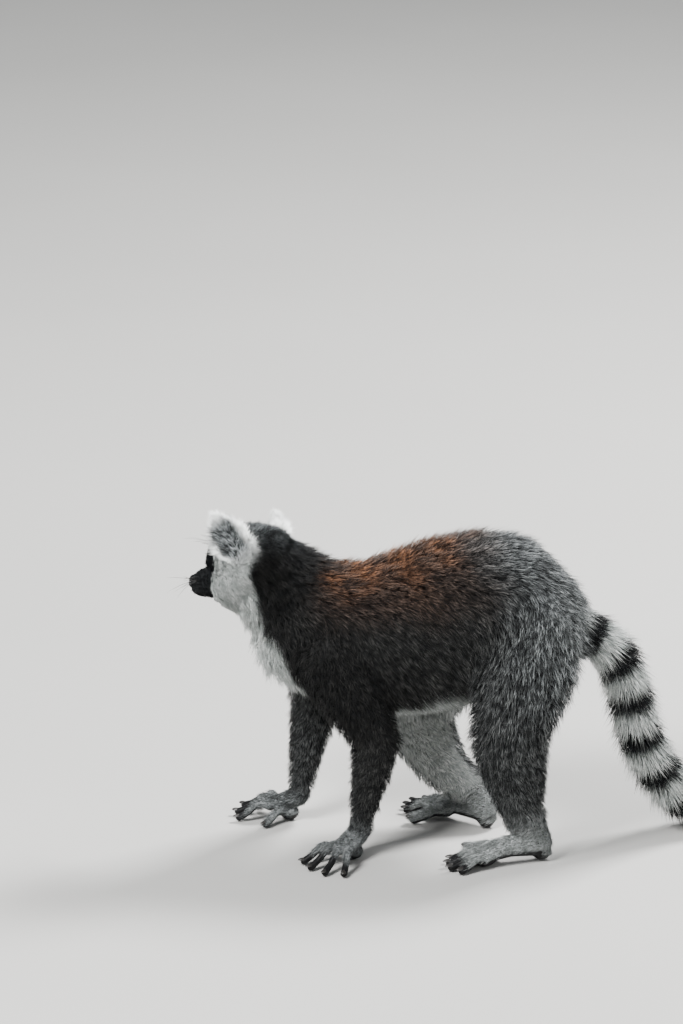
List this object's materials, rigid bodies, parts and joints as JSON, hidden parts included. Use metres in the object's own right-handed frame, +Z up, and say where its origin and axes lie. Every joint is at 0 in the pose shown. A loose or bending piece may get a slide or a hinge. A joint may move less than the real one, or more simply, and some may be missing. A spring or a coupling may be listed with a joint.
{
  "type": "ring-tailed lemur",
  "caption": "Life-size still model of a ring-tailed lemur standing on all fours, its head turned aside and its long ringed tail trailing on the floor.",
  "frame": {"origin": "on the floor under the middle of the whole animal's box", "axes": "the animal faces -X, its left side is towards -Y, +Z is up; +X runs towards the tail"},
  "size_m": [0.8122, 0.2136, 0.3373],
  "materials": {
    "trunk": "dense woolly coat, dark brown-grey with a rust saddle and a pale rump",
    "neck": "dense dark grey coat, white under the throat",
    "head": "short white face coat, black muzzle and eye patches, speckled grey crown",
    "ear": "white long-haired ear with grey hair inside",
    "eye": "glossy amber eye with a small black pupil",
    "upper_arm": "dense dark grey coat",
    "forearm": "dark grey coat with a pale speckle",
    "hand": "bare black leathery digits with short grey hair on the back",
    "thigh": "pale-tipped grey coat in locks",
    "shank": "grey coat, paler inside",
    "foot": "short pale grey hair above, bare black sole and digits",
    "tail": "long bushy coat with black and white rings"
  },
  "bodies": {
    "root": {"trunk": "trunk", "neck": "neck", "head": "head", "ear_left": "ear", "ear_right": "ear", "eye_left": "eye", "eye_right": "eye", "upper_arm_left": "upper_arm", "upper_arm_right": "upper_arm", "forearm_left": "forearm", "forearm_right": "forearm", "hand_left": "hand", "hand_right": "hand", "thigh_left": "thigh", "thigh_right": "thigh", "shank_left": "shank", "shank_right": "shank", "foot_left": "foot", "foot_right": "foot", "tail_1": "tail", "tail_2": "tail", "tail_3": "tail", "tail_4": "tail", "tail_5": "tail", "tail_6": "tail"}
  },
  "joints": []
}
